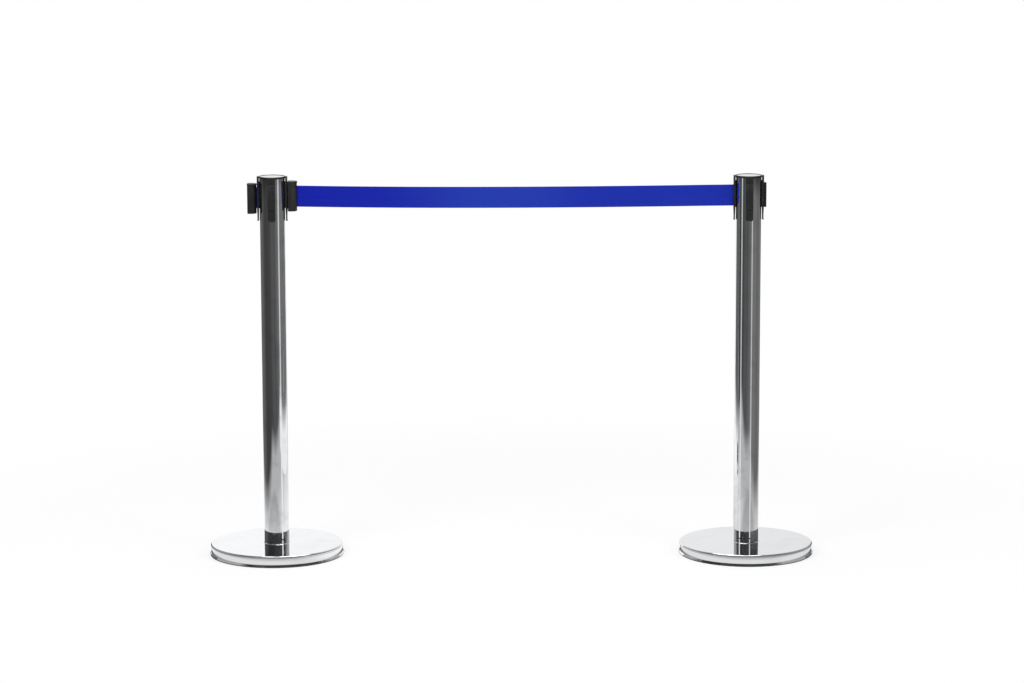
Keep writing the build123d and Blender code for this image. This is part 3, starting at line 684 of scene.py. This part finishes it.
def beltStrip(startX, endX, steps, heightAt, asideAt):  # an upright band, with its own map in metres
    b = beltForm
    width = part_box("left_belt_roll")[1].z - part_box("left_belt_roll")[0].z
    bm = bmesh.new()
    bmesh.ops.create_grid(bm, x_segments=steps, y_segments=b["across"], size=0.5)
    bmesh.ops.scale(bm, verts=bm.verts[:], vec=(endX - startX, width, 1))
    move(bm, ((startX + endX) / 2, 0, 0))
    across = {v: v.co.y for v in bm.verts}
    rotate(bm, math.pi / 2, "X")
    layer = bm.loops.layers.uv.new("beltMap")
    for face in bm.faces:
        for loop in face.loops:
            loop[layer].uv = (loop.vert.co.x, across[loop.vert])
    bmesh.ops.recalc_face_normals(bm, faces=bm.faces[:])
    move(bm, (0, b["thickness"] / 2 * mm, 0))
    bmesh.ops.solidify(bm, geom=bm.faces[:], thickness=b["thickness"] * mm)
    ys = [v.co.y for v in bm.verts]
    move(bm, (0, -(min(ys) + max(ys)) / 2, 0))
    for vert in bm.verts:
        vert.co += Vector((0, asideAt(vert.co.x), heightAt(vert.co.x)))
    return bm


def joiningBelt():
    b = beltForm
    pin = middleOf("right_grip_pin")
    guideX = axisX["right"] - b["guidePin"] * mm
    beltZ, hooked = beltCentre("right"), pin.x + b["pinGap"] * mm
    seam = hooked + b["tail"] * mm

    def sagging(x):
        t = (x - hooked) / (guideX - hooked)
        return beltZ - 4 * b["sag"] * mm * t * (1 - t)

    # to the back near its reel and to the front near its end
    def waving(x):
        t, back, front = (guideX - x) / (guideX - hooked), b["backMost"], b["frontMost"]
        if t < back:
            share = math.sin(math.pi / 2 * t / back)
        elif t > front:
            share = -math.sin(math.pi / 2 * (1 - t) / (1 - front))
        else:
            share = math.cos(math.pi * (t - back) / (front - back))
        return share * b["wave"] * mm

    bm = beltStrip(seam, guideX, round((guideX - seam) / (b["step"] * mm)), sagging, waving)
    span = newPiece(bm, "joining_belt", beltFinish, None, ["right_belt"])
    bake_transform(span)

    bm = beltStrip(hooked, seam, round(b["tail"] / b["step"]), sagging, waving)
    tail = newPiece(bm, "joining_belt_end", beltFinish, None, ["right_belt"])
    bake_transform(tail)


def parkedBelt():
    b = beltForm
    pin = middleOf("left_grip_pin")
    guideX = axisX["left"] - b["guidePin"] * mm
    hooked = pin.x + b["pinGap"] * mm

    def dropping(x):
        t = (x - hooked) / (guideX - hooked)
        return pin.z + (beltCentre("left") - pin.z) * t

    bm = beltStrip(hooked, guideX, b["stubSteps"], dropping, lambda x: 0.0)
    stub = newPiece(bm, "wound_in_belt_end", beltFinish, None, ["left_belt"])
    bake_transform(stub)


joiningBelt()
parkedBelt()
print("belts modelled")


# studio
studio = {
    "paper": "#f2f2f2", "paperHalf": 1.25, "paperFront": -1.38, "edgeSoft": 0.2, "floorHalf": 40.0,
    "paperFar": 0.55, "paperNear": (1.15, 0.82), "nearReach": 0.4,
    "brightFront": -0.75, "brightBack": 0.0, "brightInner": 0.7, "brightOuter": 1.1,
    "ringLightLevel": 0.9, "ringLightFrom": 0.22, "ringLightTo": 0.28,
    "shade": 0.72, "shadeAside": 1.2, "shadeFront": -0.38, "shadeFrom": 0.28, "shadeTo": 0.42,
    "contactShadow": 0.170, "contactShadowSoft": 0.018, "contactShadowLevel": 0.04,
    "shadowShare": 0.3, "shadowFrom": 1.0, "shadowTo": 1.8,
    "roomRadius": 3.0, "roomHeight": 4.4, "roomSegments": 128, "roomLow": 0.55, "roomHigh": 0.62,
    "roomTop": (0.5, 0.25), "topTurn": (0.9, 1.9), "backTurn": (0.2, 1.2),
    "bandFoot": (0.86, 1.0), "bandTop": (2.3, 1.9), "bandLower": 0.25, "bandLevel": 0.45,
    "skyLow": 1.0, "skyHigh": 1.3, "skyDark": 0.1, "skyLevel": 0.35, "skyTurn": (-0.35, -0.12),
    "worldLight": 0.5,
    "walls": [  # azimuth round the pair from the front, to the right, and how bright the room is there
        (-180, 0.12), (-145, 0.13), (-125, 0.15), (-108, 0.14), (-92, 0.1), (-80, 0.06), (-60, 0.06),
        (-37, 0.07), (-23, 0.1), (-10, 0.11), (0, 0.09), (11, 0.12), (23, 0.14), (36, 0.19), (50, 0.2),
        (70, 0.2), (88, 0.16), (103, 0.16), (112, 0.22), (125, 0.21), (132, 0.16), (157, 0.22), (180, 0.12)],
}


def distanceFrom(tree, place, x, y=0.0):
    flat = addNode(tree, "VectorMath", {0: place, 1: (1, 1, 0)}, operation="MULTIPLY")["Vector"]
    return addNode(tree, "VectorMath", {0: flat, 1: (x, y, 0)}, operation="DISTANCE")["Value"]


def glow(tree, level):
    return addNode(tree, "Emission", {"Color": linear("#ffffff"), "Strength": level})["Emission"]


def roomLevel(tree, place):  # how bright the studio is in each direction
    spot = addNode(tree, "SeparateXYZ", {"Vector": place})
    azimuth = calc(tree, "ARCTAN2", spot["X"], product(tree, spot["Y"], -1.0))
    ramp = tree.nodes.new("ShaderNodeValToRGB")
    tree.links.new(shadeOver(tree, azimuth, -math.pi, math.pi), ramp.inputs["Fac"])
    stops, last = ramp.color_ramp.elements, len(studio["walls"]) - 1
    for index, (angle, level) in enumerate(studio["walls"]):
        at = (angle + 180) / 360
        stop = stops[0] if index == 0 else (stops[len(stops) - 1] if index == last else stops.new(at))
        stop.position, stop.color = at, (level, level, level, 1.0)
    return ramp.outputs["Color"]


def paperLevel(tree, place):  # what the steel mirrors of the floor: white paper with painted light and shade, brightest between the posts, painted bright round each post's foot, in painted shade in front of each post, with a painted contact shadow at each base
    s = studio
    spot = addNode(tree, "SeparateXYZ", {"Vector": place})
    aside = calc(tree, "ABSOLUTE", spot["X"])
    bright = product(tree, shadeOver(tree, spot["Y"], s["brightFront"], s["brightBack"]),
                     shadeOver(tree, aside, s["brightOuter"], s["brightInner"]))
    near = shadeOver(tree, spot["X"], -s["nearReach"], s["nearReach"], *s["paperNear"])
    level = shadeOver(tree, bright, 0.0, 1.0, s["paperFar"], near)
    for x in axisX.values():  # dimmer just in front of each post
        off = distanceFrom(tree, place, x * s["shadeAside"], s["shadeFront"])
        level = product(tree, level, shadeOver(tree, off, s["shadeFrom"], s["shadeTo"], s["shade"], 1.0))
    away = [distanceFrom(tree, place, x) for x in axisX.values()]
    # painted light: the mirrored paper is kept bright out to about a quarter metre from each post's axis
    for distance in away:
        ringLight = shadeOver(tree, distance, s["ringLightFrom"], s["ringLightTo"], s["ringLightLevel"], 0.0)
        level = calc(tree, "MAXIMUM", level, ringLight)
    soft = s["edgeSoft"]
    paper = product(tree, shadeOver(tree, aside, s["paperHalf"] + soft, s["paperHalf"] - soft),
                    shadeOver(tree, spot["Y"], s["paperFront"] - soft, s["paperFront"] + soft))
    mixed = addNode(tree, "Mix", {0: paper, 2: roomLevel(tree, place), 3: level})[0]
    # painted contact shadow: the mirrored paper is nearly black just outside each base's rim
    outside = s["contactShadow"] + s["contactShadowSoft"]
    contactShadow = [shadeOver(tree, distance, s["contactShadow"], outside, s["contactShadowLevel"], 1.0) for distance in away]
    return product(tree, mixed, *contactShadow)


def stagePiece(bm, name, material):
    mesh = bpy.data.meshes.new(name)
    bm.to_mesh(mesh)
    bm.free()
    mesh.materials.append(material)
    piece = bpy.data.objects.new(name, mesh)
    bpy.context.scene.collection.objects.link(piece)
    return piece


def onlyInSteel(piece):  # seen in reflections, and nowhere else
    for ray in ("camera", "diffuse", "transmission", "volume_scatter", "shadow"):
        setattr(piece, "visible_" + ray, False)


def floor():  # white to the camera with a soft shadow; mirrored as paper on a dark studio floor
    s = studio
    bm = bmesh.new()
    bmesh.ops.create_grid(bm, x_segments=1, y_segments=1, size=s["floorHalf"])
    material, tree = emptyMaterial("studio floor")
    ray = addNode(tree, "LightPath")
    place = addNode(tree, "TexCoord")["Object"]
    paper = addNode(tree, "BsdfDiffuse", {"Color": linear(s["paper"])})["BSDF"]
    middle = distanceFrom(tree, place, 0)
    share = shadeOver(tree, middle, s["shadowFrom"], s["shadowTo"], s["shadowShare"], 0.0)
    shown = addNode(tree, "MixShader", {0: share, 1: glow(tree, 1.0), 2: paper})["Shader"]
    mirrored = glow(tree, paperLevel(tree, place))
    other = addNode(tree, "MixShader", {0: ray["Is Glossy Ray"], 1: paper, 2: mirrored})["Shader"]
    surface = addNode(tree, "MixShader", {0: ray["Is Camera Ray"], 1: other, 2: shown})["Shader"]
    addNode(tree, "OutputMaterial", {"Surface": surface})
    stagePiece(bm, "floor", material)


def room():  # dim walls round the paper, with a paler band above them, and lighter high up at the back
    s = studio
    bm = bmesh.new()
    bmesh.ops.create_circle(bm, segments=s["roomSegments"], radius=s["roomRadius"])
    made = bmesh.ops.extrude_edge_only(bm, edges=bm.edges[:])["geom"]
    bmesh.ops.translate(bm, verts=vertsIn(made), vec=(0, 0, s["roomHeight"]))
    material, tree = emptyMaterial("studio room")
    place = addNode(tree, "TexCoord")["Object"]
    spot = addNode(tree, "SeparateXYZ", {"Vector": place})
    top = shadeOver(tree, spot["X"], *s["topTurn"], *s["roomTop"])  # dimmer to the right
    height = shadeOver(tree, spot["Z"], s["roomLow"], s["roomHigh"], 1.0, top)
    atBack = shadeOver(tree, spot["Y"], *s["backTurn"])
    upper = product(tree, shadeOver(tree, spot["Z"], s["skyLow"], s["skyHigh"]), atBack)
    walls = product(tree, roomLevel(tree, place), height)
    level = addNode(tree, "Mix", {0: upper, 2: walls, 3: s["skyLevel"]})[0]
    lower = product(tree, atBack, s["bandLower"])  # the band is lower at the back
    lifted = calc(tree, "ADD", spot["Z"], lower)
    ends = [shadeOver(tree, lifted, *s[end]) for end in ("bandFoot", "bandTop")]
    level = calc(tree, "MAXIMUM", level, product(tree, *ends, s["bandLevel"]))
    addNode(tree, "OutputMaterial", {"Surface": glow(tree, level)})
    onlyInSteel(stagePiece(bm, "room", material))


cardForms = {  # centre, azimuth it faces, width, height, levels at foot and top, heights where they change
    "backdrop": ((0.0, 2.0, 0.0), 0, 2.5, 3.0, (1.15, 0.87), (0.92, 0.86), (0.6, 0.95)),
    "low reflector": ((0.40, -0.05, 0.0), 270, 1.9, 0.2, (1.1, 1.0), (0.25, 0.25), (0.11, 0.19)),
    "left strip light": ((-0.505, -0.052, 0.029), 240, 0.013, 1.2, (1.05, 1.05), (0.75, 0.75), (0.33, 0.38)),
    "middle strip light": ((0.502, -0.048, 0.029), 116, 0.013, 1.2, (0.95, 0.95), (0.62, 0.62), (0.23, 0.38)),
    "right strip light": ((0.598, -0.071, 0.029), 214.5, 0.012, 1.2, (0.84, 0.84), (0.62, 0.62), (0.13, 0.3)),
}


def cards():  # upright cards lit on one face: the paper backdrop, a low reflector and three slim strip lights
    for name, (centre, faces, width, height, foot, top, change) in cardForms.items():
        bm = bmesh.new()
        bmesh.ops.create_grid(bm, x_segments=1, y_segments=1, size=0.5)
        rotate(bm, math.pi / 2, "X")
        bmesh.ops.scale(bm, verts=bm.verts[:], vec=(width, 1, height))
        move(bm, (0, 0, height / 2))
        material, tree = emptyMaterial(name)
        spot = addNode(tree, "SeparateXYZ", {"Vector": addNode(tree, "TexCoord")["Object"]})
        levels = [shadeOver(tree, spot["X"], -width / 2, width / 2, *ends) for ends in (foot, top)]
        rise = shadeOver(tree, spot["Z"], *change)
        lit = glow(tree, addNode(tree, "Mix", {0: rise, 2: levels[0], 3: levels[1]})[0])
        clear = addNode(tree, "BsdfTransparent")["BSDF"]
        behind = addNode(tree, "NewGeometry")["Backfacing"]
        surface = addNode(tree, "MixShader", {0: behind, 1: lit, 2: clear})["Shader"]
        addNode(tree, "OutputMaterial", {"Surface": surface})
        card = stagePiece(bm, name, material)
        card.location = centre
        card.rotation_euler = (0, 0, math.radians(faces))
        onlyInSteel(card)


lamps = {  # place, what it is aimed at, size in metres, power
    "key": ((-2.6, -3.4, 3.4), (0, 0, 0.5), 2.4, 95),
    "fill": ((3.0, -2.6, 2.6), (0, 0, 0.5), 2.2, 45),
    "top": ((0, 0.6, 4.2), (0, 0, 0.4), 3.0, 70),
}


def light():
    s = studio
    for name, (place, aim, size, power) in lamps.items():
        data = bpy.data.lights.new(name, "AREA")
        data.shape, data.size, data.energy = "DISK", size, power
        lamp = bpy.data.objects.new(name, data)
        lamp.location = place
        lamp.rotation_euler = (Vector(aim) - Vector(place)).to_track_quat("-Z", "Y").to_euler()
        bpy.context.scene.collection.objects.link(lamp)
    world = bpy.data.worlds.new("studio")
    bpy.context.scene.world = world
    world.use_nodes = True
    tree = world.node_tree
    tree.nodes.clear()
    ray = addNode(tree, "LightPath")
    towards = addNode(tree, "SeparateXYZ", {"Vector": addNode(tree, "TexCoord")["Object"]})["Y"]
    mirrored = shadeOver(tree, towards, *s["skyTurn"], s["skyDark"], s["skyLevel"])
    level = shadeOver(tree, ray["Is Camera Ray"], 0.0, 1.0, s["worldLight"], 1.0)
    level = addNode(tree, "Mix", {0: ray["Is Glossy Ray"], 2: level, 3: mirrored})[0]
    sky = addNode(tree, "Background", {"Color": linear("#ffffff"), "Strength": level})["Background"]
    addNode(tree, "OutputWorld", {"Surface": sky})


view = {
    "x": 0.0028, "distance": 8.0, "height": 1.852, "pitch": 9.5, "roll": -0.15,
    "lens": 120.0, "sensor": 36.0, "farthest": 200,
}


def camera():
    data = bpy.data.cameras.new("camera")
    data.lens, data.sensor_width, data.clip_end = view["lens"], view["sensor"], view["farthest"]
    eye = bpy.data.objects.new("camera", data)
    eye.location = (view["x"], -view["distance"], view["height"])
    tilt = Matrix.Rotation(math.radians(90 - view["pitch"]), 3, "X")
    eye.rotation_euler = (tilt @ Matrix.Rotation(math.radians(view["roll"]), 3, "Z")).to_euler()
    bpy.context.scene.collection.objects.link(eye)
    bpy.context.scene.camera = eye


floor()
room()
cards()
light()
camera()
bpy.context.scene.view_settings.view_transform = "Standard"
print("studio set")
